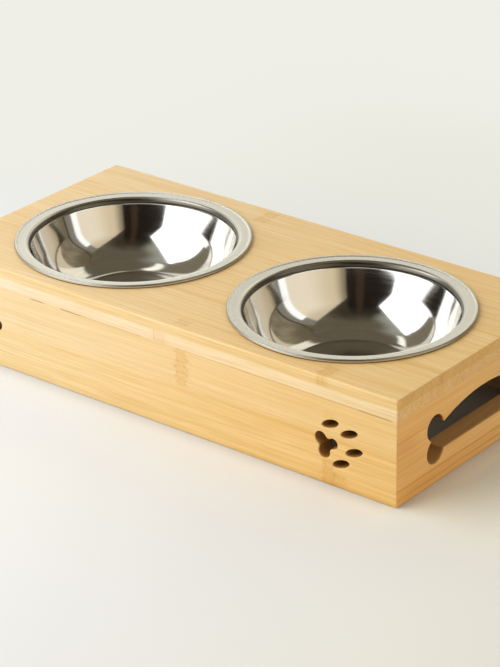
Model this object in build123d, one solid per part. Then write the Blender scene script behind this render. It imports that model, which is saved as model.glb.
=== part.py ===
from build123d import *
import os
from math import asin, cos, radians, sin

# Raised stand for two pet bowls: a mitred bamboo box whose two-ply top board
# carries two pressed steel bowls by their rims.
# Millimetres. Origin on the table under the middle of the stand,
# X along the stand, Y to the back, Z up.

# Stand
bowl_gap = 24.0            # between the rims of the two bowls
end_margin = 20.0          # from a rim to the end of the board
front_margin = 9.2         # from the rims to the front of the board
back_margin = 16.8         # from the rims to the back of the board
stand_height = 76.0
upper_ply = 7.0
lower_ply = 8.0
panel_thickness = 14.0
edge_easing = 1.0          # rounding of the stand's outer edges

# Bowl
rim_radius = 84.0          # outside of the rolled edge
rolled_edge = 2.6          # diameter of the rolled edge
rolled_flat = 0.15         # how much of the rolled edge is pressed flat where it rests
rim_width = 11.0           # from the rolled edge's outside to the food side of the wall
rim_fall = 0.5             # how much lower the rim is at the wall than at the rolled edge
rim_bend = 3.6             # radius of the bend from the rim into the neck
neck_height = 4.3          # of the upright neck between the rim and the wall
neck_bend = 2.0            # radius of the bend from the neck into the wall
wall_lean = 18.5           # degrees from upright, just below the neck
upper_curve = 260.0        # radius of the wall's upper part, in section; the lower one follows from the floor
upper_height = 14.9        # height of that upper part
bowl_depth = 43.5          # from the rim's inner edge to the floor
floor_radius = 39.3
floor_bend = 4.0           # radius of the bend from the wall into the floor
sheet = 0.7
bowl_clearance = 1.5       # between the bowl's wall and its hole in the board

# Paw cut-outs, one near each end of the front panel
paw_inset_right = 56.0     # from the right end to the middle of the pad
paw_inset_left = 52.6      # from the left end to the middle of the pad
paw_drop = 2.3             # pad's middle below the middle of the panel
paw_tilt = 18.0            # degrees that the toes point above level, outwards
toe_length = 14.0
toe_width = 5.8
toe_turn = 3.0             # degrees that each toe is turned further than the paw
inner_toe = (21.6, 6.35)   # from the pad's middle, along and across the paw
outer_toe = (8.3, 13.85)
heel_lobe = (-2.75, 4.7)
heel_lobe_radius = 4.6
tip_lobe_along = 6.0
tip_lobe_radius = 3.8
pad_web = 2.0              # how far the pad reaches past the line between two lobe centres
pad_bend = 2.5             # radius of the pad's hollow corners
paw_easing = 0.4

# Handle slots, bone-shaped, one in each end panel
slot_rise = 1.3            # middle of the slot above the middle of the panel
slot_lobe_radius = 9.2
slot_lobe_reach = 54.8     # from the slot's middle to the lobe centres
slot_lobe_spacing = 16.4   # between the centres of the two lobes of one end
grip_height = 27.7         # from the grip's straight lower edge to the top of its arch
grip_drop = 9.8            # straight lower edge below the slot's middle
grip_arch_radius = 125.0
slot_tip_radius = 0.8      # rounding of the wood's tips between the lobes and the grip
slot_easing = 0.5

# Joinery
joint_easing = 0.5         # width of the small bevel along the top of the front and back panels
joint_easing_stop = 5.0    # how far from the corners that bevel ends
block_side = 18.0
block_height = 30.0
block_bevel = 4.0
spline_width = 9.0
spline_thickness = 3.0
spline_height = 45.0
glue_gap = 0.1             # around splines and dowels
dowel_radius = 3.0
dowel_length = 20.0
dowel_pitch = 120.0
screw_radius = 2.0
screw_head_radius = 4.0
screw_bite = 11.0          # how far a screw goes into the board
screw_tip = 4.0
screw_sink = 0.3           # head below the block's lower face
screw_clearance = 0.2      # around the screw inside the block
thread_clearance = 0.05    # around the screw inside the board
cross_width = 0.9
cross_length = 4.4
cross_depth = 1.2

# What follows from them
board = upper_ply + lower_ply
panel_height = stand_height - board
bowl_x = bowl_gap / 2 + rim_radius
half_length = bowl_x + rim_radius + end_margin
half_depth = rim_radius + (front_margin + back_margin) / 2
bowl_y = (front_margin - back_margin) / 2
bowl_places = {"left_bowl": -bowl_x, "right_bowl": bowl_x}
wall_radius = rim_radius - rim_width
hole_radius = wall_radius + sheet + bowl_clearance
sides = ["front", "right", "back", "left"]
corners = {"front_left": (-1, -1), "front_right": (1, -1), "back_right": (1, 1), "back_left": (-1, 1)}


def corner_point(corner, inset):
    """Plan position that lies inset from both outer faces at a corner of the stand."""
    across, back = corners[corner]
    return (across * (half_length - inset), back * (half_depth - inset))


def slab(bottom, top):
    """The stand's outline between two heights, with its outer edges eased."""
    whole = Pos(0, 0, stand_height / 2) * Box(2 * half_length, 2 * half_depth, stand_height)
    whole = fillet(whole.edges(), edge_easing)
    height = top - bottom
    return whole & Pos(0, 0, bottom + height / 2) * Box(3 * half_length, 3 * half_depth, height)


def at_places(solid, places):
    """Copies of one solid at several places, as separate solids."""
    return [Pos(*place) * solid for place in places]


# Fasteners and what they sit in
def screw_profile(radius, head_radius, length, tip):
    """Half section of a countersunk screw, head down, with its head's face at height zero."""
    head = head_radius - radius
    return Polygon(
        (0, 0), (head_radius, 0), (radius, head), (radius, length - tip), (0, length), align=None
    )


def screw():
    length = block_height - screw_sink + screw_bite
    body = revolve(Plane.XZ * screw_profile(screw_radius, screw_head_radius, length, screw_tip), Axis.Z)
    bar = Pos(0, 0, cross_depth / 2) * Box(cross_length, cross_width, cross_depth)
    return body - bar - Rot(0, 0, 90) * bar


def screw_hole_in_block():
    """Clearance hole with a countersink, from the block's lower face up."""
    radius = screw_radius + screw_clearance
    head_radius = screw_head_radius + screw_clearance
    profile = screw_profile(radius, head_radius, block_height + screw_bite, screw_bite / 2)
    recess = Pos(0, 0, screw_sink / 2) * Cylinder(head_radius, screw_sink)
    return recess + Pos(0, 0, screw_sink) * revolve(Plane.XZ * profile, Axis.Z)


def screw_places(height):
    inset = panel_thickness + block_side / 2
    return [(*corner_point(corner, inset), height) for corner in corners]


def pilot_holes():
    """Where the screws bite into the board."""
    depth = screw_bite + screw_clearance
    hole = Cylinder(screw_radius + thread_clearance, depth, align=(Align.CENTER, Align.CENTER, Align.MIN))
    return at_places(hole, screw_places(panel_height))


def dowel_places():
    middle = half_depth - panel_thickness / 2
    steps = (-1, 0, 1)
    return [(step * dowel_pitch, side * middle, panel_height) for side in (-1, 1) for step in steps]


def dowel_holes():
    hole = Cylinder(dowel_radius + glue_gap, dowel_length + 2 * glue_gap)
    return at_places(hole, dowel_places())


def spline_block(gap):
    """A spline, or with a gap the slot for it, across the mitre line, its top level with the panels."""
    size = (spline_width + 2 * gap, spline_thickness + 2 * gap, spline_height + gap)
    return Box(*size, align=(Align.CENTER, Align.CENTER, Align.MAX))


def spline_at(corner, gap):
    across, back = corners[corner]
    place = (*corner_point(corner, panel_thickness / 2), panel_height)
    return Pos(*place) * Rot(0, 0, -45 * across * back) * spline_block(gap)


# Top board
def board_ply(bottom, top):
    ply = slab(bottom, top)
    for x in bowl_places.values():
        ply -= Pos(x, bowl_y, stand_height / 2) * Cylinder(hole_radius, stand_height)
    for hole in dowel_holes() + pilot_holes():
        ply -= hole
    return ply


# Panels
def mitred_panel(side):
    """One side of the box, cut at 45 degrees at both ends, with half of each spline's slot."""
    names = list(corners)
    first = names[sides.index(side)]
    second = names[(sides.index(side) + 1) % len(names)]
    plan = Polygon(
        corner_point(first, 0),
        corner_point(second, 0),
        corner_point(second, panel_thickness),
        corner_point(first, panel_thickness),
        align=None,
    )
    panel = extrude(plan, panel_height) & slab(0, panel_height)
    return panel - spline_at(first, glue_gap) - spline_at(second, glue_gap)


def bevel_top(panel, back):
    """Takes the sharp outer edge off a long panel where it meets the board, short of the corners."""
    length = 2 * (half_length - joint_easing_stop)
    bar = Box(length, joint_easing, joint_easing)
    return panel - Pos(0, back * half_depth, panel_height) * Rot(45, 0, 0) * bar


def ease_openings(panel, faces, radius):
    """Rounds the rims of the openings in the given faces."""
    rims = [edge for face in faces for wire in face.inner_wires() for edge in wire.edges()]
    return fillet(rims, radius)


def soften(outline, radius):
    """Rounds only the hollow corners of an outline."""
    return offset(offset(outline, radius), -radius)


def paw():
    """Four toes and a three-lobed pad, pointing along X, with the pad's middle at the origin."""
    outline = Sketch()
    for along, across in (inner_toe, outer_toe):
        for side in (-1, 1):
            toe = Ellipse(toe_length / 2, toe_width / 2, rotation=toe_turn)
            outline += Pos(along, side * across) * toe
    tip = (tip_lobe_along, 0)
    heels = [(heel_lobe[0], side * heel_lobe[1]) for side in (-1, 1)]
    pad = offset(Polygon(tip, *heels[::-1], align=None), pad_web)
    pad += Pos(*tip) * Circle(tip_lobe_radius)
    for heel in heels:
        pad += Pos(*heel) * Circle(heel_lobe_radius)
    return outline + soften(pad, pad_bend)


def front_panel():
    right = Pos(half_length - paw_inset_right, 0) * Rot(0, 0, paw_tilt) * paw()
    left = Pos(half_length - paw_inset_left, 0) * Rot(0, 0, paw_tilt) * paw()
    outlines = [right, mirror(left, Plane.YZ)]
    face = Plane.XZ.offset(half_depth - panel_thickness / 2) * Pos(0, panel_height / 2 - paw_drop)
    panel = mitred_panel("front")
    for outline in outlines:
        panel -= extrude(face * outline, panel_thickness, both=True)
    panel = ease_openings(panel, [panel.faces().sort_by(Axis.Y)[0]], paw_easing)
    return panel - dowel_holes()


def back_panel():
    return bevel_top(mitred_panel("back"), 1) - dowel_holes()


def grip_outline():
    """Bone shape: a straight-bottomed, arched grip with two round lobes at each end."""
    arch_top = grip_height - grip_drop
    grip = Pos(0, arch_top - grip_arch_radius) * Circle(grip_arch_radius)
    box = Rectangle(2 * slot_lobe_reach, grip_height, align=(Align.CENTER, Align.MIN))
    outline = grip & Pos(0, -grip_drop) * box
    for along in (-1, 1):
        for up in (-1, 1):
            outline += Pos(along * slot_lobe_reach, up * slot_lobe_spacing / 2) * Circle(slot_lobe_radius)
    return soften(outline, slot_tip_radius)


def end_panel(side, across):
    middle = half_length - panel_thickness / 2
    face = Plane.YZ.offset(across * middle) * Pos(0, panel_height / 2 + slot_rise)
    panel = mitred_panel(side) - extrude(face * grip_outline(), panel_thickness, both=True)
    open_faces = [face for face in panel.faces() if len(face.inner_wires()) == 1]
    return ease_openings(panel, open_faces, slot_easing)


# Corner blocks
def corner_block(corner):
    across, back = corners[corner]
    block = Box(block_side, block_side, block_height, align=(Align.MIN, Align.MIN, Align.MAX))
    inner_edge = block.edges().filter_by(Axis.Z).sort_by(lambda edge: edge.center().X + edge.center().Y)[-1]
    block = chamfer(inner_edge, block_bevel)
    hole = Pos(block_side / 2, block_side / 2, -block_height) * screw_hole_in_block()
    turn = {(-1, -1): 0, (1, -1): 90, (1, 1): 180, (-1, 1): 270}[(across, back)]
    place = (*corner_point(corner, panel_thickness), panel_height)
    return Pos(*place) * Rot(0, 0, turn) * (block - hole)


# Bowls
def wall_curve(top, floor_height):
    """The food side below the neck: a slow arc that leans outwards, then a quicker one to the floor's edge."""
    lean = radians(wall_lean)
    centre = (top.X - upper_curve * cos(lean), top.Y + upper_curve * sin(lean))
    joint_lean = asin(sin(lean) + upper_height / upper_curve)
    joint = (centre[0] + upper_curve * cos(joint_lean), top.Y - upper_height)
    upper = TangentArc(top, joint, tangent=(-sin(lean), -cos(lean)))
    return [upper, TangentArc(upper @ 1, (floor_radius, floor_height), tangent=upper % 1)]


def bowl():
    """Pressed from one sheet: flat rim, upright neck, curved wall, flat floor, and the edge rolled under."""
    roll = rolled_edge / 2
    roll_centre = (rim_radius - roll, stand_height + roll - rolled_flat)
    rim_top = stand_height + rolled_edge - rolled_flat - rim_fall
    rim = Line((rim_radius - roll, rim_top), (wall_radius, rim_top - rim_fall))
    floor_height = rim_top - rim_fall - bowl_depth
    neck = Line(rim @ 1, (wall_radius, rim_top - rim_fall - neck_height))
    wall = wall_curve(neck @ 1, floor_height)
    floor = Line(wall[-1] @ 1, (0, floor_height))
    skin = Wire([rim, neck, *wall, floor])
    skin = fillet(skin.vertices().sort_by_distance(rim @ 1)[0], rim_bend)
    skin = fillet(skin.vertices().sort_by_distance(neck @ 1)[0], neck_bend)
    skin = fillet(skin.vertices().sort_by_distance(floor @ 0)[0], floor_bend)
    section = make_face(offset(skin, amount=sheet, side=Side.LEFT))
    roll_above_board = Pos(*roll_centre) * Circle(roll) & Pos(roll_centre[0], stand_height) * Rectangle(
        2 * rolled_edge, 2 * rolled_edge, align=(Align.CENTER, Align.MIN)
    )
    return revolve(Plane.XZ * (section + roll_above_board), Axis.Z)


def build():
    """Every piece of the object, by its node name."""
    nodes = {
        "top_board_upper_ply": board_ply(panel_height + lower_ply, stand_height),
        "top_board_lower_ply": board_ply(panel_height, panel_height + lower_ply),
        "front_panel": bevel_top(front_panel(), -1),
        "back_panel": back_panel(),
        "left_panel": end_panel("left", -1),
        "right_panel": end_panel("right", 1),
        "board_dowels": at_places(Cylinder(dowel_radius, dowel_length), dowel_places()),
        "block_screws": at_places(screw(), screw_places(panel_height - block_height + screw_sink)),
    }
    for corner in corners:
        nodes["corner_block_" + corner] = corner_block(corner)
        nodes["corner_spline_" + corner] = spline_at(corner, 0)
    one_bowl = bowl()
    for name, x in bowl_places.items():
        nodes[name] = Pos(x, bowl_y, 0) * one_bowl
    return nodes


os.makedirs("parts", exist_ok=True)
for name, shape in build().items():
    solids = shape if isinstance(shape, list) else shape.solids()
    export_step(Compound(children=solids), "parts/" + name + ".step")
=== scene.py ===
import math

import bpy
import numpy as np
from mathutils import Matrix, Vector


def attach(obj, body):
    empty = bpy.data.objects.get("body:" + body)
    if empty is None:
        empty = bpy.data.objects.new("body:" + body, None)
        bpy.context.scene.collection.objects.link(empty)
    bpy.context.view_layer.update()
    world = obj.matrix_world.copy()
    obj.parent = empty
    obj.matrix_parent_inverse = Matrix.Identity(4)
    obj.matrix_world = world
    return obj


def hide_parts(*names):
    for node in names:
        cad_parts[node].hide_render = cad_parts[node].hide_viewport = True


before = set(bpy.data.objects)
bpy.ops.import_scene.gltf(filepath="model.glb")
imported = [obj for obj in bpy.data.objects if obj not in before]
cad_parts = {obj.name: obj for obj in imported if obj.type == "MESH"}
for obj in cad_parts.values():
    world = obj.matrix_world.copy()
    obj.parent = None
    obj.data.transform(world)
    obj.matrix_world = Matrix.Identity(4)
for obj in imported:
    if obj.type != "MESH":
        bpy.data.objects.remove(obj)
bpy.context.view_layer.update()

# Sizes in metres, as in the part's source
HALF_LENGTH = 0.200
HALF_DEPTH = 0.097
STAND_HEIGHT = 0.076
PANEL_TOP = 0.061
BOWL_X = 0.096
BOWL_Y = -0.0038
RIM_RADIUS = 0.084
ROLLED_EDGE = 0.0026
ROLLED_FLAT = 0.00015
RIM_WIDTH = 0.011
RIM_FALL = 0.0005
RIM_BEND = 0.0036
NECK_HEIGHT = 0.0043
NECK_BEND = 0.002
WALL_LEAN = math.radians(18.5)
UPPER_CURVE = 0.260
UPPER_HEIGHT = 0.0149
BOWL_DEPTH = 0.0435
FLOOR_RADIUS = 0.0393
FLOOR_BEND = 0.004
SHEET = 0.0007


# Shorthand for node trees
def linear(*rgb):
    """An sRGB colour of 0 to 255 as linear values."""
    parts = [value / 255 for value in rgb]
    return tuple(c / 12.92 if c <= 0.04045 else ((c + 0.055) / 1.055) ** 2.4 for c in parts)


class Graph:
    """Builds a node tree: every call adds a node and gives back its output socket."""

    def __init__(self, tree):
        self.tree = tree
        tree.nodes.clear()

    def node(self, kind, sockets=None, **settings):
        made = self.tree.nodes.new("ShaderNode" + kind)
        for name, value in settings.items():
            setattr(made, name, value)
        for key, value in (sockets or {}).items():
            self.feed(made.inputs[key], value)
        return made

    def feed(self, socket, value):
        if isinstance(value, bpy.types.NodeSocket):
            self.tree.links.new(value, socket)
        elif isinstance(value, tuple) and len(value) == 3 and socket.type == "RGBA":
            socket.default_value = (*value, 1)
        else:
            socket.default_value = value

    def math(self, operation, *values):
        return self.node("Math", dict(enumerate(values)), operation=operation).outputs[0]

    def add(self, *values):
        total = values[0]
        for value in values[1:]:
            total = self.math("ADD", total, value)
        return total

    def times(self, *values):
        total = values[0]
        for value in values[1:]:
            total = self.math("MULTIPLY", total, value)
        return total

    def less(self, a, b):
        return self.math("SUBTRACT", a, b)

    def ramp(self, value, low, high, to_low=0.0, to_high=1.0):
        """Smooth step of the value from low to high; low may be the larger."""
        sockets = {"Value": value, "From Min": low, "From Max": high, "To Min": to_low, "To Max": to_high}
        return self.node("MapRange", sockets, interpolation_type="SMOOTHSTEP").outputs["Result"]

    def band(self, value, low, high, soft):
        """1 between low and high, 0 outside, with soft edges centred on both."""
        half = soft / 2
        rise = self.ramp(value, low - half, low + half)
        return self.times(rise, self.ramp(value, high + half, high - half))

    def mix(self, factor, a, b, blend="MIX"):
        made = self.node("Mix", data_type="RGBA", blend_type=blend)
        for index, value in ((0, factor), (6, a), (7, b)):
            self.feed(made.inputs[index], value)
        return made.outputs[2]

    def blend(self, factor, a, b):
        """Mixes two plain values, as mix does two colours."""
        return self.node("Mix", {0: factor, 2: a, 3: b}, data_type="FLOAT").outputs[0]

    def tinted(self, factor, colour, tint):
        """The colour, multiplied by the tint as far as the factor says."""
        return self.mix(factor, colour, self.mix(1.0, colour, tint, "MULTIPLY"))

    def split(self, vector):
        return self.node("SeparateXYZ", {0: vector}).outputs

    def join(self, x, y, z):
        return self.node("CombineXYZ", {0: x, 1: y, 2: z}).outputs[0]

    def noise(self, vector, scale=1.0, detail=2.0, rough=0.5):
        sockets = {"Vector": vector, "Scale": scale, "Detail": detail, "Roughness": rough}
        return self.node("TexNoise", sockets).outputs["Fac"]

    def white(self, value):
        return self.node("TexWhiteNoise", {"W": value}, noise_dimensions="1D").outputs["Value"]


def new_material(name):
    material = bpy.data.materials.new(name)
    material.use_nodes = True
    return material, Graph(material.node_tree)


def finish_material(g, shader):
    g.tree.links.new(shader, g.node("OutputMaterial").inputs["Surface"])


def principled(g, normal=None, **sockets):
    made = g.node("BsdfPrincipled")
    for name, value in sockets.items():
        g.feed(made.inputs[name.replace("_", " ")], value)
    if normal is not None:
        g.feed(made.inputs["Normal"], normal)
    return made.outputs[0]


# Studio
STUDIO_RADIUS = 0.82
DOME_COLUMNS, DOME_ROWS = 181, 60
DOME_FOOT = -4.5            # degrees
STEEL = 0.70                # how much of the studio's light the bowls give back
SOFTBOX = 2.8               # strength, where 1 is white
SOFTBOX_TINT = (1.0, 0.995, 0.98)
SOFTBOX_DISTANCE = 0.72
SOFTBOX_WIDTH = 2.1 * SOFTBOX_DISTANCE
SOFTBOX_HEIGHT = 1.97 * SOFTBOX_DISTANCE
SOFTBOX_TURN = math.radians(-55.0)
SOFTBOX_ASIDE = 0.18 * SOFTBOX_DISTANCE
# light that the matt surfaces get from each side
SCREEN_LIGHT = (1.20, 1.03, 0.83)
BACK_LIGHT = (0.86, 0.86, 0.85)
FILL_LIGHT = (0.33, 0.325, 0.31)
CEILING_LIGHT = (0.27, 0.265, 0.25)
GAP_LIGHT = (0.02, 0.02, 0.02)
# colours of the backdrop, the floor and the sweep that the floor turns into; besides the plain BACKDROP,
# FLOOR_RIGHT and SWEEP, they are painted light and shade that follow how the lamps fall on the floor
BACKDROP = linear(240, 240, 232)
FLOOR_PAINTED_SHADE_BY_LAMP = linear(220, 225, 230)
FLOOR_LEFT_PAINTED_SHADE = linear(231, 232, 231)
FLOOR_PAINTED_SHADE_BY_PANEL = linear(225, 229, 234)
FLOOR_RIGHT = linear(239, 238, 230)
FLOOR_PAINTED_LIGHT_IN_SHADOW = linear(248, 246, 231)
FLOOR_PAINTED_SHADE_IN_BOX = linear(186, 188, 190)
SWEEP = linear(239, 239, 231)
SWEEP_PAINTED_SHADE_BEHIND = linear(233, 233, 223)
SWEEP_PAINTED_SHADE_FAR_SIDE = linear(227, 224, 212)


def angles(g, vector):
    """Azimuth, 0 at the front and 90 on the right, and elevation of a vector, in degrees."""
    x, y, z = g.split(vector)
    level = g.math("SQRT", g.add(g.times(x, x), g.times(y, y)))
    azimuth = g.math("DEGREES", g.math("ARCTAN2", x, g.times(y, -1.0)))
    return azimuth, g.math("DEGREES", g.math("ARCTAN2", z, level))


def mirrored(*rgb):
    """Light that shows in the steel as this sRGB colour."""
    return tuple(c / STEEL for c in linear(*rgb))


def studio_pattern(g, azimuth, elevation):
    """What stands round the stand: softbox at the front left, pale screen on the right, dark gap between.

    Every place is an azimuth and an elevation in degrees.
    """

    def el_between(low, high, soft):
        return g.band(elevation, low, high, soft)

    def az_between(low, high, soft):
        return g.band(azimuth, low, high, soft)

    def below(edge, soft):
        return g.ramp(g.less(elevation, edge), soft / 2, -soft / 2)

    def left_of(edge, soft):
        return g.ramp(g.less(azimuth, edge), soft / 2, -soft / 2)

    def line(a0, e0, a1, e1):
        """Elevation, at each azimuth, of the straight edge through two places."""
        return g.add(g.times(g.less(azimuth, float(a0)), (e1 - e0) / (a1 - a0)), float(e0))

    def lowest(*edges):
        return edges[0] if len(edges) == 1 else g.math("MINIMUM", edges[0], lowest(*edges[1:]))

    def upright_top(ratio, normal):
        """Elevation of the level top edge of an upright plane, ratio being its height over its distance."""
        turn = g.math("RADIANS", g.less(azimuth, normal))
        return g.math("DEGREES", g.math("ARCTANGENT", g.times(ratio, g.math("COSINE", turn))))

    drift = g.noise(g.join(g.times(azimuth, 0.045), g.times(elevation, 0.045), 0.0), detail=2.0)
    colour = g.mix(drift, mirrored(82, 75, 61), mirrored(99, 91, 76))
    high_gap = g.times(az_between(-12, 82, 44), g.ramp(elevation, 88, 62))
    colour = g.mix(high_gap, colour, mirrored(54, 48, 37))
    # ceiling, paler over the softbox
    glow = g.times(az_between(-104, -8, 44), g.ramp(elevation, 79, 63))
    colour = g.mix(glow, colour, mirrored(146, 148, 138))
    # behind the camera's right: grey, a dark joint, a brown screen, a pale slope
    colour = g.mix(g.times(az_between(112, 130, 3), below(58, 3)), colour, mirrored(122, 118, 106))
    mottle = g.ramp(g.noise(g.join(g.times(azimuth, 0.12), g.times(elevation, 0.05), 3.0)), 0.3, 0.7)
    brown = g.mix(mottle, mirrored(110, 100, 80), mirrored(136, 126, 104))
    brown = g.mix(g.ramp(elevation, 38, 52), brown, mirrored(98, 88, 70))
    colour = g.mix(g.times(az_between(130, 181, 3), below(60, 4)), colour, brown)
    over_bend = g.math("MAXIMUM", g.less(elevation, 44.0), 0.0)
    joint = g.less(azimuth, g.add(g.times(over_bend, over_bend, 0.080), 130.2))
    colour = g.mix(g.times(g.band(joint, -1.2, 1.2, 1.2), below(60, 3)), colour, mirrored(46, 41, 33))
    level_joint = g.times(az_between(136, 182, 4), el_between(57.2, 58.4, 1.4), 0.7)
    colour = g.mix(level_joint, colour, mirrored(64, 58, 46))
    slope = g.times(az_between(150, 182, 3), below(line(155, 18, 180, 42), 3))
    colour = g.mix(slope, colour, mirrored(196, 184, 157))
    # pale corner at the back left
    corner = g.times(az_between(-182, -152, 3), below(line(-180, 50, -150, 43), 3))
    colour = g.mix(corner, colour, mirrored(228, 223, 203))
    # dark gap where the camera stands
    gap_top = g.ramp(elevation, 72, 46)
    gap = g.mix(az_between(29, 38, 3), mirrored(29, 24, 18), mirrored(54, 42, 31))
    gap = g.mix(g.ramp(elevation, 12, 7.5), gap, mirrored(250, 248, 238))
    colour = g.mix(g.times(az_between(-2, 50, 3), gap_top), colour, gap)
    # pale screen on the right, and the white strip along its edge
    screen = g.times(az_between(48.5, 113, 2.0), below(upright_top(1.55, 115.0), 2.0))
    tone = g.mix(g.ramp(azimuth, 62, 92), mirrored(206, 189, 159), mirrored(226, 214, 192))
    tone = g.mix(g.ramp(elevation, 34, 52), tone, mirrored(197, 184, 156))
    tone = g.mix(g.ramp(azimuth, 63, 48), tone, mirrored(120, 109, 90))
    colour = g.mix(screen, colour, tone)
    strip = g.ramp(g.less(azimuth, g.times(elevation, 0.03)), 109.8, 110.8)
    strip = g.times(strip, left_of(g.add(g.times(elevation, 0.08), 118.3), 1.4))
    colour = g.mix(g.times(strip, below(44.5, 1.5)), colour, mirrored(255, 255, 255))
    # softbox, an upright square, and a smaller one beyond it
    edge = g.add(g.times(elevation, 0.34), -9.8)
    box = g.times(g.ramp(azimuth, -98, -93), left_of(edge, 1.6), below(upright_top(1.92, -53.0), 2.5))
    colour = g.mix(box, colour, (SOFTBOX, SOFTBOX, SOFTBOX))
    far_box = g.times(az_between(-127, -103, 2), below(line(-127, 50, -105, 60), 2.5))
    far_box = g.times(far_box, below(60.0, 2.0), g.less(1.0, below(line(-125, 44.5, -104, 55), 2.0)))
    colour = g.mix(far_box, colour, mirrored(255, 253, 244))
    # dark curtain that cuts off the softbox's lower left, a crescent
    rise = g.less(elevation, 10.0)
    curtain_right = g.less(-65.0, g.times(g.times(rise, rise), 0.0132))
    curtain = g.times(g.ramp(azimuth, -132, -118), left_of(curtain_right, 2.5))
    curtain = g.times(curtain, below(lowest(line(-122, 43, -100, 55), line(-100, 55, -90, 52)), 3.0))
    colour = g.mix(curtain, colour, mirrored(112, 104, 88))
    # paper on the left and behind, bright at its foot
    paper_top = lowest(line(-67, 13, -91, 26), line(-91, 26, -103, 36),
                       line(-103, 36, -120, 41), line(-150, 38, -180, 20))
    paper = g.times(az_between(-182, -62, 4), below(paper_top, 1.5))
    paper_tone = g.mix(g.ramp(elevation, 14, 30), mirrored(250, 247, 238), mirrored(214, 212, 200))
    paper_tone = g.mix(g.ramp(azimuth, -105, -150), paper_tone, mirrored(208, 204, 188))
    folds = g.noise(g.join(g.times(azimuth, 0.22), g.times(elevation, 0.03), 7.0), detail=2.0)
    paper_tone = g.tinted(g.ramp(folds, 0.42, 0.62), paper_tone, (0.84, 0.83, 0.80))
    colour = g.mix(paper, colour, paper_tone)
    foot = g.times(az_between(-70, 13, 3), below(line(-12, 13.2, 14, 11.2), 2.0))
    return g.mix(foot, colour, (1.8, 1.8, 1.8))


def sky():
    """Lights the matt surfaces with the same studio, its edges softened; steel sees the dome instead."""
    world = bpy.data.worlds.new("studio_light")
    bpy.context.scene.world = world
    world.use_nodes = True
    g = Graph(world.node_tree)
    azimuth, elevation = angles(g, g.node("TexCoord").outputs["Generated"])

    def low(top, soft):
        """1 under this elevation, with a soft edge centred on it."""
        return g.ramp(elevation, top + soft / 2, top - soft / 2)

    colour = g.mix(low(62, 16), CEILING_LIGHT, FILL_LIGHT)
    back = g.math("MAXIMUM", g.band(azimuth, -185, -93, 8), g.band(azimuth, 140, 185, 8))
    colour = g.mix(g.times(back, low(45, 8)), colour, BACK_LIGHT)
    colour = g.mix(g.times(g.band(azimuth, 50, 119, 5), low(52, 6)), colour, SCREEN_LIGHT)
    colour = g.mix(g.times(g.band(azimuth, 2, 49, 4), low(52, 10)), colour, GAP_LIGHT)
    camera_ray = g.node("LightPath").outputs["Is Camera Ray"]
    colour = g.mix(camera_ray, colour, BACKDROP)
    background = g.node("Background", {"Color": colour, "Strength": 1.0})
    g.tree.links.new(background.outputs[0], g.node("OutputWorld").inputs["Surface"])
    world.cycles_visibility.glossy = False
    world.cycles.sampling_method = "MANUAL"
    world.cycles.sample_map_resolution = 1024


def softbox():
    """The same softbox as a lamp, an upright rectangle near the stand, for the matt surfaces only."""
    data = bpy.data.lights.new("softbox", "AREA")
    data.shape = "RECTANGLE"
    data.size, data.size_y = SOFTBOX_WIDTH, SOFTBOX_HEIGHT
    data.energy = SOFTBOX * math.pi * SOFTBOX_WIDTH * SOFTBOX_HEIGHT
    data.color = SOFTBOX_TINT
    piece = bpy.data.objects.new("softbox", data)
    towards = Vector((math.sin(SOFTBOX_TURN), -math.cos(SOFTBOX_TURN), 0))
    aside = Vector((math.cos(SOFTBOX_TURN), math.sin(SOFTBOX_TURN), 0))
    lift = Vector((0, 0, STAND_HEIGHT + SOFTBOX_HEIGHT / 2))
    piece.location = towards * SOFTBOX_DISTANCE + aside * SOFTBOX_ASIDE + lift
    piece.rotation_euler = towards.to_track_quat("Z", "Y").to_euler()
    piece.visible_camera = False
    piece.visible_glossy = False
    bpy.context.scene.collection.objects.link(piece)


def dome():
    """Half sphere of radius R round the stand's top: (R cos e sin a, -R cos e cos a, h + R sin e)."""
    a, e = np.meshgrid(np.linspace(-np.pi, np.pi, DOME_COLUMNS),
                       np.linspace(np.radians(DOME_FOOT), np.pi / 2, DOME_ROWS))
    points = np.stack([np.cos(e) * np.sin(a), -np.cos(e) * np.cos(a), np.sin(e)], -1) * STUDIO_RADIUS
    piece = grid_object("studio_dome", points + (0, 0, STAND_HEIGHT), flip=True)
    material, g = new_material("studio_dome")
    place = g.node("TexCoord").outputs["Object"]
    from_top = g.node("VectorMath", {0: place, 1: (0, 0, STAND_HEIGHT)}, operation="SUBTRACT")
    azimuth, elevation = angles(g, from_top.outputs[0])
    emission = g.node("Emission", {"Color": studio_pattern(g, azimuth, elevation), "Strength": 1.0})
    finish_material(g, emission.outputs[0])
    material.cycles.emission_sampling = "NONE"
    piece.data.materials.append(material)
    for ray in ("camera", "diffuse", "transmission", "volume_scatter", "shadow"):
        setattr(piece, "visible_" + ray, False)


# Meshes from arrays
def mesh_object(name, points, faces):
    mesh = bpy.data.meshes.new(name)
    mesh.from_pydata(points.tolist(), [], faces)
    mesh.polygons.foreach_set("use_smooth", np.ones(len(mesh.polygons), bool))
    mesh.update()
    piece = bpy.data.objects.new(name, mesh)
    bpy.context.scene.collection.objects.link(piece)
    return piece


def grid_faces(rows, columns, wrap=False, flip=False):
    """Quads of a grid of points numbered row by row; with wrap, the last column joins the first."""
    i, j = np.meshgrid(np.arange(rows - 1), np.arange(columns - (not wrap)), indexing="ij")
    i, j = i.ravel(), j.ravel()
    i2, j2 = i + 1, (j + 1) % columns
    quads = np.stack([i * columns + j, i * columns + j2, i2 * columns + j2, i2 * columns + j], 1)
    return (quads[:, ::-1] if flip else quads).tolist()


def grid_object(name, grid, flip=False):
    rows, columns = grid.shape[:2]
    return mesh_object(name, grid.reshape(-1, 3), grid_faces(rows, columns, flip=flip))


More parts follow.
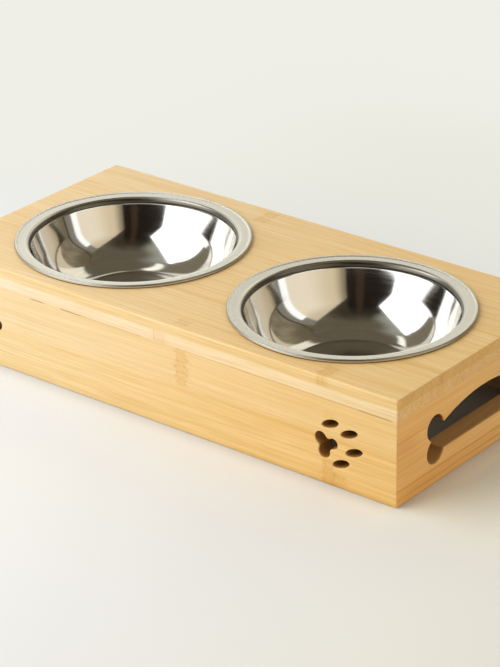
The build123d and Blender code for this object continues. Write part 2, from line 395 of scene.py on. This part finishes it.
def lathe(name, profile, centre, turns):
    """Turns a closed half profile (r, z) that starts and ends on the axis: (r cos t, r sin t, z)."""
    t = np.arange(turns) * 2 * np.pi / turns
    r, z = profile[1:-1, 0], profile[1:-1, 1]
    ring = np.stack([np.outer(r, np.cos(t)), np.outer(r, np.sin(t)), np.repeat(z[:, None], turns, 1)], -1)
    ends = np.array([[0, 0, profile[0, 1]], [0, 0, profile[-1, 1]]])
    points = np.concatenate([ring.reshape(-1, 3), ends]) + (*centre, 0)
    k = np.arange(turns)
    n = (k + 1) % turns
    last_ring = (len(r) - 1) * turns
    first_fan = np.stack([np.full(turns, len(points) - 2), n, k], 1)
    last_fan = np.stack([np.full(turns, len(points) - 1), last_ring + k, last_ring + n], 1)
    fans = np.stack([first_fan, last_fan], 1).reshape(-1, 3)
    return mesh_object(name, points, grid_faces(len(r), turns, wrap=True) + fans.tolist())


def arc(centre, radius, start, end, steps):
    """Points of an arc between two angles in degrees, 0 along r and 90 up, both ends included."""
    t = np.radians(np.linspace(start, end, steps))
    return np.stack([centre[0] + radius * np.cos(t), centre[1] + radius * np.sin(t)], 1)


# Bowls
ROLL_MEETS_RIM = 128.0      # degrees round the rolled edge, 0 at its outer side and 90 on top
ROLL_ENDS = -62
RIM_STEPS = (0.003, 0.0012, 0.0004)
FOOT_CLEARANCE = 2e-5
BOTTOM_POINTS, WALL_POINTS, UPPER_POINTS = 12, 40, 16
BEND_POINTS, FOLD_POINTS, CREST_POINTS = 8, 12, 26


def bowl_profile():
    """The sheet's closed half section, from the floor's middle up the food side and back underneath.

    Below an upright neck the wall is an arc of radius R that leans from a to b, with sin b = sin a +
    height / R, then an arc of radius q through the floor's edge, with q = chord / (2 sin g) and g the angle
    from the tangent to the chord. Bends tangent to their neighbours join floor, wall, neck and rim.
    """
    wall = RIM_RADIUS - RIM_WIDTH
    rim_outer = STAND_HEIGHT + ROLLED_EDGE - ROLLED_FLAT - RIM_FALL
    rim_inner = rim_outer - RIM_FALL
    floor = rim_inner - BOWL_DEPTH
    roll = ROLLED_EDGE / 2
    roll_centre = np.array([RIM_RADIUS - roll, STAND_HEIGHT + roll - ROLLED_FLAT])
    slope = RIM_FALL / (roll_centre[0] - wall)

    def rim_line(r):
        """Height of the flat rim's upper side at this radius."""
        return rim_inner + slope * (r - wall)

    foot_height = rim_inner - NECK_HEIGHT
    upper_centre = np.array([wall, foot_height])
    upper_centre += UPPER_CURVE * np.array([-math.cos(WALL_LEAN), math.sin(WALL_LEAN)])
    joint_lean = math.asin(math.sin(WALL_LEAN) + UPPER_HEIGHT / UPPER_CURVE)
    joint = upper_centre + UPPER_CURVE * np.array([math.cos(joint_lean), -math.sin(joint_lean)])
    run, drop = joint[0] - FLOOR_RADIUS, joint[1] - floor
    gap = math.atan2(run, drop) - joint_lean
    lower_curve = math.hypot(run, drop) / (2 * math.sin(gap))
    lower_centre = joint + lower_curve * np.array([-math.cos(joint_lean), math.sin(joint_lean)])
    joint_turn = -math.degrees(joint_lean)

    # bend from the lower arc into the floor
    bend_height = floor + FLOOR_BEND
    bend_drop = lower_centre[1] - bend_height
    bend_x = lower_centre[0] + math.sqrt((lower_curve - FLOOR_BEND) ** 2 - bend_drop ** 2)
    bend_end = math.degrees(math.atan2(bend_height - lower_centre[1], bend_x - lower_centre[0]))
    # bend from the neck into the wall
    neck_x = wall - NECK_BEND
    neck_z = upper_centre[1] - math.sqrt((UPPER_CURVE - NECK_BEND) ** 2 - (neck_x - upper_centre[0]) ** 2)
    neck_turn = math.degrees(math.atan2(neck_z - upper_centre[1], neck_x - upper_centre[0]))
    # bend from the rim into the neck
    tilt = math.degrees(math.atan(slope))
    fold_x = wall + RIM_BEND
    fold = (fold_x, rim_line(fold_x) - RIM_BEND / math.cos(math.radians(tilt)))

    def skin(offset):
        """Food side for offset 0, underside for the sheet's thickness, from the floor up."""
        radii = np.linspace(0, bend_x, BOTTOM_POINTS)[:-1]
        bottom = np.stack([radii, np.full_like(radii, floor - offset)], 1)
        return np.concatenate([
            bottom,
            arc((bend_x, bend_height), FLOOR_BEND + offset, -90, bend_end, BEND_POINTS)[:-1],
            arc(lower_centre, lower_curve + offset, bend_end, joint_turn, WALL_POINTS)[:-1],
            arc(upper_centre, UPPER_CURVE + offset, joint_turn, neck_turn, UPPER_POINTS)[:-1],
            arc((neck_x, neck_z), NECK_BEND + offset, neck_turn, 0, BEND_POINTS),
            arc(fold, RIM_BEND - offset, 180, 90 + tilt, FOLD_POINTS),
        ])

    crest = arc(roll_centre, roll, ROLL_MEETS_RIM, ROLL_ENDS, CREST_POINTS)
    meet = crest[0, 0]
    flat = np.array([[meet - step, rim_line(meet - step)] for step in RIM_STEPS])
    crest = crest[crest[:, 1] >= STAND_HEIGHT + FOOT_CLEARANCE / 2]
    foot_z = STAND_HEIGHT + FOOT_CLEARANCE
    foot = np.array([[crest[-1, 0], foot_z], [roll_centre[0] - roll * 0.9, foot_z]])
    inner = np.array([[roll_centre[0] - roll, rim_line(roll_centre[0] - roll) - SHEET]])
    return np.concatenate([skin(0.0), flat, crest, foot, inner, skin(SHEET)[::-1]])


STEEL_INSIDE = (0.72, 0.705, 0.675)
STEEL_RIM = (0.745, 0.745, 0.725)
# painted shade for the neck's fold and for its steep part
STEEL_FOLD_PAINTED_SHADE = (0.58, 0.565, 0.53)
STEEL_NECK_PAINTED_SHADE = (0.12, 0.112, 0.09)
STEEL_ROLLED = (0.72, 0.71, 0.675)
# painted light for the rolled edge's inner flank
STEEL_FLANK_PAINTED_LIGHT = (0.96, 0.95, 0.91)
# painted reflections for the rolled edge's outer side: shade under the crest, the board at the belly,
# contact shade at the foot
STEEL_OUTER_PAINTED_SHADE = (0.32, 0.305, 0.27)
STEEL_BELLY_PAINTED_REFLECTION = (0.62, 0.57, 0.49)
STEEL_FOOT_PAINTED_SHADE = (0.10, 0.085, 0.065)
STEEL_RING = (0.95, 0.94, 0.92)
NECK_ROUGH = 0.28
ROLLED_ROUGH = 0.36
FLANK_ROUGH = 0.75
RING_FROM, RING_TO = 0.0493, 0.0500
BOWL_COLUMNS = 288


def steel_material():
    """Pressed steel: polished inside, satin on the rim and on the rolled edge.

    The neck has painted shade where it is steep, for the dark ceiling that it mirrors. The rolled edge's
    inner flank is painted pale, painted light over the shaded wood that it mirrors at the far edge. Its
    outer
    side has painted reflections: painted shade under the crest, the board's warm colour at the belly and
    painted contact shade at the foot. A faint ring runs round the wall.
    """
    material, g = new_material("bowl_steel")
    coordinates = g.node("TexCoord")
    place = coordinates.outputs["Object"]
    x, y, z = g.split(place)
    side = g.math("SIGN", x)
    cx = g.less(x, g.times(side, BOWL_X))
    cy = g.less(y, BOWL_Y)
    radius = g.math("SQRT", g.add(g.times(cx, cx), g.times(cy, cy)))
    wall = RIM_RADIUS - RIM_WIDTH
    top = STAND_HEIGHT + ROLLED_EDGE - ROLLED_FLAT - 2 * RIM_FALL
    on_flat = g.ramp(radius, wall + 0.0004, wall + 0.0012)
    rim = g.math("MAXIMUM", on_flat, g.ramp(z, top - 0.0040, top - 0.0028))
    upward = g.split(coordinates.outputs["Normal"])[2]
    # painted shade: the neck darkened where it is steep, for the dark ceiling that it mirrors
    neck = g.times(
        g.ramp(z, top - NECK_HEIGHT - 0.0002, top - NECK_HEIGHT + 0.0008),
        g.ramp(upward, 0.99, 0.80),
        g.ramp(radius, wall + RIM_BEND, wall + RIM_BEND - 0.0005),
    )
    spun = g.noise(g.join(g.times(radius, 900.0), g.times(z, 900.0), 0.0), detail=2.0, rough=0.6)
    wave = g.noise(place, scale=26.0, detail=1.0)
    polish = g.ramp(spun, 0.3, 0.7, 0.075, 0.110)
    by_fold = g.ramp(radius, wall + 0.0055, wall + 0.0025, 0.0, 0.09)
    satin = g.less(g.ramp(wave, 0.3, 0.7, 0.25, 0.29), by_fold)
    rough = g.blend(rim, polish, satin)
    rough = g.blend(neck, rough, NECK_ROUGH)
    colour = g.mix(rim, STEEL_INSIDE, STEEL_RIM)
    neck_colour = g.mix(g.ramp(upward, 0.86, 0.60), STEEL_FOLD_PAINTED_SHADE, STEEL_NECK_PAINTED_SHADE)
    colour = g.mix(neck, colour, neck_colour)
    rolled = g.ramp(radius, RIM_RADIUS - ROLLED_EDGE * 0.8, RIM_RADIUS - ROLLED_EDGE * 0.5)
    colour = g.mix(rolled, colour, STEEL_ROLLED)
    rough = g.blend(rolled, rough, ROLLED_ROUGH)
    # painted light: the rolled edge's inner flank paler, over the shaded wood it mirrors at the far edge
    flank = g.band(radius, RIM_RADIUS - ROLLED_EDGE * 0.86, RIM_RADIUS - ROLLED_EDGE * 0.48, 0.0003)
    colour = g.mix(flank, colour, STEEL_FLANK_PAINTED_LIGHT)
    rough = g.blend(flank, rough, FLANK_ROUGH)
    # painted reflections on the rolled edge's outer side: painted shade under the crest, the board's warm
    # colour at the belly, painted contact shade at the foot
    outer = g.times(g.ramp(radius, RIM_RADIUS - 0.0012, RIM_RADIUS - 0.0009), g.ramp(upward, 0.90, 0.78))
    outer_painted_colour = g.mix(g.ramp(upward, 0.30, 0.12), STEEL_OUTER_PAINTED_SHADE, STEEL_BELLY_PAINTED_REFLECTION)
    outer_painted_colour = g.mix(g.ramp(upward, -0.25, -0.55), outer_painted_colour, STEEL_FOOT_PAINTED_SHADE)
    colour = g.mix(outer, colour, outer_painted_colour)
    ring = g.band(radius, RING_FROM, RING_TO, 0.0006)
    colour = g.mix(g.times(ring, 0.25), colour, STEEL_RING)
    height = g.add(g.times(spun, 0.0000003), g.times(wave, 0.00004))
    bump = g.node("Bump", {"Height": height, "Strength": 0.6, "Distance": 1.0})
    finish_material(g, principled(g, bump.outputs[0], Base_Color=colour, Metallic=1.0, Roughness=rough))
    return material


def bowls():
    steel = steel_material()
    profile = bowl_profile()
    for name, side in (("left_bowl", -1), ("right_bowl", 1)):
        piece = lathe(name + "_pressed", profile, (side * BOWL_X, BOWL_Y), BOWL_COLUMNS)
        piece.data.materials.append(steel)
        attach(piece, name)
        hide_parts(name)


# Bamboo
FIBRE_PALE = (1.06, 1.085, 1.16)
FIBRE_DARK = (0.93, 0.865, 0.72)
END_TINT = (1.03, 0.90, 0.72)
LOWER_END_TINT = (1.05, 0.895, 0.69)
END_CONTRAST = 0.84
# length and width in metres
THIN_FIBRES = (0.045, 0.0010)
FINE_FIBRES = (0.110, 0.0020)
WIDE_STREAKS = (0.260, 0.0070)
PORES = (0.012, 0.0004)
# tints of marks in the bamboo, and the painted shade of the sawn walls in its cut-outs
PORE_TINT = (0.74, 0.60, 0.42)
SEAM_TINT = (0.80, 0.66, 0.48)
CANE_RING_TINT = (0.84, 0.69, 0.46)
GROOVE_TINT = (0.50, 0.34, 0.17)
UPRIGHT_WALL_PAINTED_SHADE = (0.78, 0.86, 1.0)
OVERHEAD_WALL_PAINTED_SHADE = (0.40, 0.42, 0.50)
SLOT_WALL_PAINTED_SHADE = (0.69, 0.64, 0.66)
PAW_WALL_PAINTED_SHADE = (0.60, 0.48, 0.34)


def bamboo(name, ends, strip, seed, grain="X", across="Y", marks=(), zones=(), grooves=(), cuts=None,
           calm=None, end_tint=END_TINT):
    """Pressed bamboo: strips side by side, fine fibres along them, and rings where a cane's joints were.

    ends are the colours at both ends of the grain axis; grain and across name the axes that the fibres
    follow and that the strips are laid along. marks are rings: (place along the grain, from, to across it,
    strength). zones are streaks: (from, to across the grain, softness, where along it they start and are
    full, tint). grooves are dark joint lines: (place across the grain, from, to along it, strength). cuts
    gives the axis and place of the panel's face and the colour of the painted shade on the sawn walls that
    lie deeper than it, bluer where they stand upright and darker where they face down. calm gives the
    places across the grain where the fibres begin to fade and where they are faint.
    """
    material, g = new_material(name)
    coordinates = g.node("TexCoord")
    parts = dict(zip("XYZ", g.split(coordinates.outputs["Object"])))
    along, over = parts[grain], parts[across]
    through = parts[next(axis for axis in "XYZ" if axis not in (grain, across))]
    facing = dict(zip("XYZ", g.split(coordinates.outputs["Normal"])))
    reach = HALF_LENGTH if grain == "X" else HALF_DEPTH
    wander = g.times(g.less(g.noise(g.join(g.times(along, 7.0), g.times(over, 18.0), seed)), 0.5), 0.0045)
    bent = g.add(over, wander)

    def fibres(length, width, detail, shift):
        """Streaks of about this length and width in metres."""
        depth = g.add(g.times(through, 1 / width), seed + shift)
        vector = g.join(g.times(along, 1 / length), g.times(bent, 1 / width), depth)
        return g.noise(vector, detail=detail, rough=0.55)

    base = g.mix(g.ramp(along, -reach, reach), *ends)
    shifted = g.math("DIVIDE", g.add(over, seed * 0.013), strip)
    strip_number = g.math("FLOOR", shifted)
    thin = fibres(*THIN_FIBRES, 2.0, 0.0)
    fine = fibres(*FINE_FIBRES, 2.0, 3.0)
    streak = fibres(*WIDE_STREAKS, 2.0, 6.0)
    lively = 1.0 if calm is None else g.ramp(over, *calm, 1.1, 0.6)
    tone = g.add(
        g.times(g.less(thin, 0.5), 2.1, lively),
        g.times(g.less(fine, 0.5), 1.8, lively),
        g.times(g.less(streak, 0.5), 1.1),
        g.times(g.less(g.white(g.add(strip_number, seed * 7.0)), 0.5), 0.20),
        0.5,
    )
    tone = g.math("MINIMUM", g.math("MAXIMUM", tone, 0.0), 1.0)
    colour = g.mix(1.0, base, g.mix(tone, FIBRE_PALE, FIBRE_DARK), "MULTIPLY")
    for low, high, soft, start, full, tint in zones:
        wave = g.noise(g.join(g.times(along, 16.0), seed + low, 0.0), detail=1.0)
        waved = g.add(over, g.times(g.less(wave, 0.5), 0.003))
        zone = g.times(g.band(waved, low, high, soft), g.ramp(along, start, full))
        colour = g.tinted(zone, colour, tint)
    pore = g.ramp(fibres(*PORES, 1.0, 9.0), 0.66, 0.80)
    colour = g.tinted(g.times(pore, 0.30), colour, PORE_TINT)
    seam = g.math("ABSOLUTE", g.less(g.math("FRACT", shifted), 0.5))
    seam_shows = g.ramp(g.noise(g.join(g.times(along, 9.0), strip_number, seed)), 0.48, 0.60)
    seam_here = g.times(g.ramp(seam, 0.486, 0.497), seam_shows)
    colour = g.tinted(g.times(seam_here, 0.35), colour, SEAM_TINT)
    curl = g.noise(g.join(g.times(along, 150.0), g.times(over, 330.0), seed + 2))
    curl = g.times(g.less(curl, 0.5), 0.012)
    grainy = g.noise(g.join(g.times(along, 500.0), g.times(over, 260.0), seed))
    grainy = g.ramp(grainy, 0.35, 0.7, 0.25, 1.0)
    whole_width, edge_place, edge_width = 0.0050, 0.0034, 0.0009
    for place, start, end, strength in marks:
        spread = g.add(g.less(along, place), curl)
        whole = g.math("EXPONENT", g.times(spread, spread, -1 / whole_width ** 2))
        side = g.less(g.math("ABSOLUTE", spread), edge_place)
        edges = g.math("EXPONENT", g.times(side, side, -1 / edge_width ** 2))
        ring = g.add(g.times(whole, 0.50), g.times(edges, grainy, 0.85))
        ring = g.times(ring, g.band(over, start, end, 0.003), strength)
        colour = g.tinted(ring, colour, CANE_RING_TINT)
    for place, start, end, strength in grooves:
        joint = g.ramp(over, place - 0.0012, place - 0.0003)
        line = g.times(g.band(along, start, end, 0.004), joint, strength)
        colour = g.tinted(line, colour, GROOVE_TINT)
    # painted shade on the sawn walls of the cut-outs: darker deeper than the face, bluer where upright and
    # darkest where they face down
    if cuts is not None:
        axis, face, tint = cuts
        deep = g.ramp(g.less(abs(face), g.math("ABSOLUTE", parts[axis])), 0.0003, 0.0022)
        shaded_walls = g.times(deep, g.ramp(g.math("ABSOLUTE", facing[axis]), 0.5, 0.2))
        shade = g.mix(g.ramp(facing["Z"], 0.75, 0.30), (1.0, 1.0, 1.0), UPRIGHT_WALL_PAINTED_SHADE)
        shade = g.mix(g.ramp(facing["Z"], 0.05, -0.45), shade, OVERHEAD_WALL_PAINTED_SHADE)
        wall_shade = g.mix(1.0, tint, shade, "MULTIPLY")
        colour = g.tinted(shaded_walls, colour, wall_shade)
    clouds = g.noise(g.join(g.times(over, 60.0), g.times(through, 160.0), seed), detail=3.0)
    dots = g.noise(g.join(g.times(over, 900.0), g.times(through, 900.0), seed))
    end_tone = g.add(g.times(g.less(clouds, 0.5), 0.6), g.times(g.less(dots, 0.5), 0.08), 0.5)
    end_shades = g.mix(end_tone, end_tint, tuple(k * END_CONTRAST for k in end_tint))
    end_grain = g.mix(1.0, colour, end_shades, "MULTIPLY")
    colour = g.mix(g.ramp(g.math("ABSOLUTE", facing[grain]), 0.75, 0.95), colour, end_grain)
    height = g.add(g.times(thin, 0.00003), g.times(fine, 0.00003))
    bump = g.node("Bump", {"Height": height, "Strength": 0.5, "Distance": 1.0})
    rough = g.ramp(fine, 0.3, 0.7, 0.42, 0.52)
    shader = principled(g, bump.outputs[0], Base_Color=colour, Roughness=rough, Specular_IOR_Level=0.35)
    finish_material(g, shader)
    return material


# the bamboo's own colour, fitted face by face under the studio light, so it also carries painted light and
# shade; the paler, less saturated left ends of the top and the front are painted sheen from the softbox
WOOD_ENDS_WITH_PAINTED_LIGHT = {
    "upper_ply": (linear(227, 200, 153), linear(231, 197, 135)),
    "lower_ply": (linear(238, 213, 182), linear(236, 209, 160)),
    "front": (linear(229, 206, 164), linear(235, 198, 134)),
    "back": (linear(229, 198, 148), linear(228, 194, 134)),
    "left": (linear(230, 192, 130), linear(230, 194, 136)),
    "right": (linear(237, 186, 113), linear(239, 198, 132)),
}


JOINERY_ENDS = (linear(226, 200, 158), linear(214, 184, 140))


def woods():
    ends = WOOD_ENDS_WITH_PAINTED_LIGHT
    top = bamboo("bamboo_upper_ply", ends["upper_ply"], strip=0.0345, seed=1.0,
                 marks=((-0.045, 0.074, 0.093, 0.7), (0.020, -0.093, -0.083, 0.6),
                        (0.140, -0.099, -0.081, 0.9)),
                 zones=((-0.0505, -0.0475, 0.002, -0.04, 0.0, (0.93, 0.88, 0.78)),
                        (-0.0885, -0.0790, 0.005, -0.2, 0.1, (0.97, 0.95, 0.90)),
                        (0.0165, 0.0195, 0.002, 0.15, 0.19, (0.93, 0.88, 0.78))))
    lower = bamboo("bamboo_lower_ply", ends["lower_ply"], strip=0.0345, seed=2.0,
                   marks=((0.006, -0.099, -0.080, 0.6),), end_tint=LOWER_END_TINT)
    front = bamboo("bamboo_front", ends["front"], across="Z", strip=0.0225, seed=3.0,
                   marks=((0.0245, 0.034, 0.0600, 0.9), (0.1465, -0.001, 0.018, 0.9),
                          (0.155, -0.001, 0.010, 0.6), (0.147, 0.040, 0.053, 0.25)),
                   zones=((-0.01, 0.0335, 0.004, -0.3, -0.21, (0.99, 0.955, 0.85)),
                          (-0.01, 0.0110, 0.003, -0.3, -0.21, (0.995, 0.98, 0.94)),
                          (-0.01, 0.0035, 0.002, -0.3, -0.21, (0.97, 0.95, 0.86)),
                          (0.0312, 0.0335, 0.0018, -0.03, 0.11, (0.96, 0.90, 0.76)),
                          (0.0265, 0.0278, 0.0010, 0.00, 0.14, (0.97, 0.93, 0.84))),
                   grooves=((PANEL_TOP, -0.110, -0.098, 0.8), (PANEL_TOP, -0.082, -0.063, 0.8),
                            (PANEL_TOP, -0.063, -0.010, 0.35), (PANEL_TOP, 0.020, 0.170, 0.25),
                            (PANEL_TOP, 0.170, 0.196, 0.8)),
                   cuts=("Y", HALF_DEPTH, PAW_WALL_PAINTED_SHADE), calm=(0.026, 0.044))
    back = bamboo("bamboo_back", ends["back"], across="Z", strip=0.0225, seed=4.0,
                  marks=((-0.08, 0.012, 0.034, 0.7), (0.105, 0.034, 0.061, 0.6)),
                  grooves=((PANEL_TOP, -0.150, -0.060, 0.5), (PANEL_TOP, 0.030, 0.110, 0.6)))
    left = bamboo("bamboo_left", ends["left"], grain="Y", across="Z", strip=0.0225, seed=5.0,
                  marks=((0.03, -0.001, 0.012, 0.6),), cuts=("X", HALF_LENGTH, SLOT_WALL_PAINTED_SHADE))
    right = bamboo("bamboo_right", ends["right"], grain="Y", across="Z", strip=0.0225, seed=6.0,
                   marks=((0.082, 0.034, 0.061, 0.6),), cuts=("X", HALF_LENGTH, SLOT_WALL_PAINTED_SHADE),
                   zones=((0.0340, 0.0460, 0.006, -0.070, -0.090, (0.95, 0.90, 0.86)),
                          (0.0140, 0.0460, 0.008, -0.060, -0.090, (0.97, 0.95, 0.92)),
                          (-0.01, 0.0120, 0.002, -0.3, -0.2, (0.97, 0.93, 0.82)),
                          (0.0045, 0.0058, 0.0010, -0.3, -0.2, (0.90, 0.79, 0.62)),
                          (0.0105, 0.0118, 0.0010, -0.3, -0.2, (0.88, 0.76, 0.58)),
                          (0.0440, 0.0455, 0.0010, -0.3, -0.2, (0.94, 0.86, 0.74))))
    joinery = bamboo("joinery_wood", JOINERY_ENDS, grain="Z", across="X", strip=0.009, seed=7.0)
    wanted = {
        "top_board_upper_ply": top, "top_board_lower_ply": lower, "front_panel": front, "back_panel": back,
        "left_panel": left, "right_panel": right, "board_dowels": joinery,
    }
    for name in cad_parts:
        if name.startswith("corner_"):
            wanted[name] = joinery
    for name, material in wanted.items():
        paint_node(name, material)


ZINC_DARK = (0.50, 0.51, 0.50)
ZINC_PALE = (0.72, 0.72, 0.69)


def zinc():
    """Zinc-plated screws: bluish grey metal with a faint mottle."""
    material, g = new_material("zinc_screws")
    mottle = g.noise(g.node("TexCoord").outputs["Object"], scale=900.0, detail=3.0)
    colour = g.mix(mottle, ZINC_DARK, ZINC_PALE)
    rough = g.ramp(mottle, 0.3, 0.7, 0.28, 0.42)
    finish_material(g, principled(g, Base_Color=colour, Metallic=1.0, Roughness=rough))
    paint_node("block_screws", material)


def paint_node(name, material):
    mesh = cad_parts[name].data
    mesh.materials.clear()
    mesh.materials.append(material)


# Floor and camera
FLOOR_REACH = 12.0


def floor():
    """Flat square floor under the stand, (x, y, 0) with x and y out to the floor's reach.

    Away from the stand it turns into a sweep that glows for the camera. From place to place, the floor's
    and the sweep's colours carry painted light and shade.
    """
    steps = np.linspace(-FLOOR_REACH, FLOOR_REACH, 3)
    x, y = np.meshgrid(steps, steps)
    piece = grid_object("studio_floor", np.stack([x, y, np.zeros_like(x)], -1))
    material, g = new_material("studio_floor")
    px, py, _ = g.split(g.node("TexCoord").outputs["Object"])
    away = g.math("SQRT", g.add(g.times(px, px), g.times(py, py)))
    # painted shade on the sweep: darker at the front right, away from the softbox
    shade = g.times(g.ramp(px, 0.0, 0.42), g.ramp(py, 0.35, -0.15))
    # painted shade: the floor darker under the box, where it lies in the box's shade
    box_shade = g.times(g.band(px, -HALF_LENGTH, HALF_LENGTH, 0.03), g.band(py, -HALF_DEPTH, HALF_DEPTH, 0.03))
    # painted shade: the floor darker on the left, where the softbox lights it most
    open_floor = g.mix(g.ramp(px, 0.12, 0.34), FLOOR_LEFT_PAINTED_SHADE, FLOOR_RIGHT)
    # painted light: the floor paler and warmer in the stand's shadow on the right
    light_in_shadow = g.times(g.ramp(px, 0.15, 0.21), g.ramp(py, -0.13, -0.07))
    open_floor = g.mix(light_in_shadow, open_floor, FLOOR_PAINTED_LIGHT_IN_SHADOW)
    # painted shade: the floor darker and cooler in front of the front panel's left half
    shade_by_panel = g.times(g.ramp(px, 0.10, -0.10), g.ramp(py, -0.21, -0.13))
    open_floor = g.mix(shade_by_panel, open_floor, FLOOR_PAINTED_SHADE_BY_PANEL)
    # painted shade: the floor darker and bluer at the front left, towards the softbox
    shade_by_lamp = g.times(g.ramp(px, -0.05, -0.30), g.ramp(py, 0.02, -0.12))
    open_floor = g.mix(shade_by_lamp, open_floor, FLOOR_PAINTED_SHADE_BY_LAMP)
    matt = g.node("BsdfDiffuse", {"Color": g.mix(box_shade, open_floor, FLOOR_PAINTED_SHADE_IN_BOX)})
    # painted shade on the sweep just behind the stand
    shade_behind = g.times(g.ramp(px, -0.42, -0.08), g.ramp(py, 0.62, 0.40), g.ramp(py, 0.02, 0.22))
    sweep = g.mix(shade, g.mix(shade_behind, SWEEP, SWEEP_PAINTED_SHADE_BEHIND), SWEEP_PAINTED_SHADE_FAR_SIDE)
    even = g.node("Emission", {"Color": sweep, "Strength": 1.0})
    away = g.add(away, g.ramp(py, 0.02, 0.26, 0.0, 0.30))
    seen = g.times(g.node("LightPath").outputs["Is Camera Ray"], g.ramp(away, 0.26, 0.72))
    blend = g.node("MixShader", {0: seen, 1: matt.outputs[0], 2: even.outputs[0]})
    finish_material(g, blend.outputs[0])
    piece.data.materials.append(material)


CAMERA_LENS = 144.163
CAMERA_SENSOR = 36.0
CAMERA_PLACE = (1.05414, -1.30084, 0.82507)
CAMERA_TURN = (64.5539, 0.8032, 38.497)


def camera():
    data = bpy.data.cameras.new("camera")
    data.lens = CAMERA_LENS
    data.sensor_width = CAMERA_SENSOR
    data.clip_end = 60.0
    piece = bpy.data.objects.new("camera", data)
    piece.location = CAMERA_PLACE
    piece.rotation_euler = [math.radians(angle) for angle in CAMERA_TURN]
    bpy.context.scene.collection.objects.link(piece)
    bpy.context.scene.camera = piece


bpy.context.scene.view_settings.view_transform = "Standard"
camera()
sky()
softbox()
dome()
floor()
bowls()
woods()
zinc()
